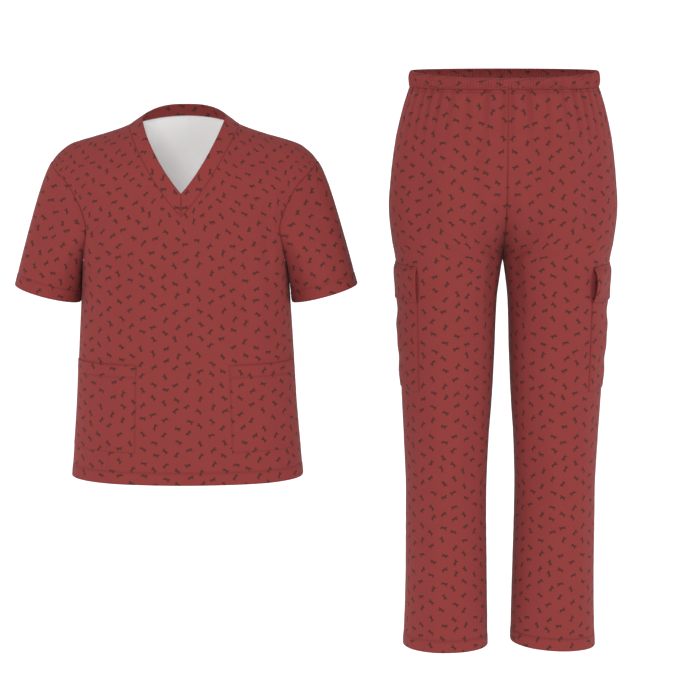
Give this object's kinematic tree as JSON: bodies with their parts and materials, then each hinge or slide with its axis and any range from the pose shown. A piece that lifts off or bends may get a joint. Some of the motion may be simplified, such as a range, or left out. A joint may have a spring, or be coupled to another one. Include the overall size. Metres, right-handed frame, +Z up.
{
  "type": "medical scrubs set",
  "caption": "Medical scrubs as worn: hollow short-sleeved V-neck top with patch pockets, and straight trousers with gathered waist and flapped cargo pockets.",
  "frame": {"origin": "on the top's middle plane, level with the side of the neck, where the wearer's shoulders hold the top", "axes": "+Z up, the fronts face -Y, +X towards the wearer's left; the trousers stand beside the top towards +X"},
  "size_m": [1.1067, 0.2746, 1.0721],
  "materials": {
    "printed_cloth": "matt plain-weave cotton and polyester cloth, printed on its outside"
  },
  "bodies": {
    "root": {"top_front": "printed_cloth", "top_back": "printed_cloth", "top_neckband_back": "printed_cloth", "top_sleeve_left": "printed_cloth", "top_neckband_left": "printed_cloth", "top_pocket_left": "printed_cloth", "trousers_front_left": "printed_cloth", "trousers_back_left": "printed_cloth", "cargo_pocket_left": "printed_cloth", "cargo_flap_left": "printed_cloth", "top_sleeve_right": "printed_cloth", "top_neckband_right": "printed_cloth", "top_pocket_right": "printed_cloth", "trousers_front_right": "printed_cloth", "trousers_back_right": "printed_cloth", "cargo_pocket_right": "printed_cloth", "cargo_flap_right": "printed_cloth", "waistband": "printed_cloth"}
  },
  "joints": []
}
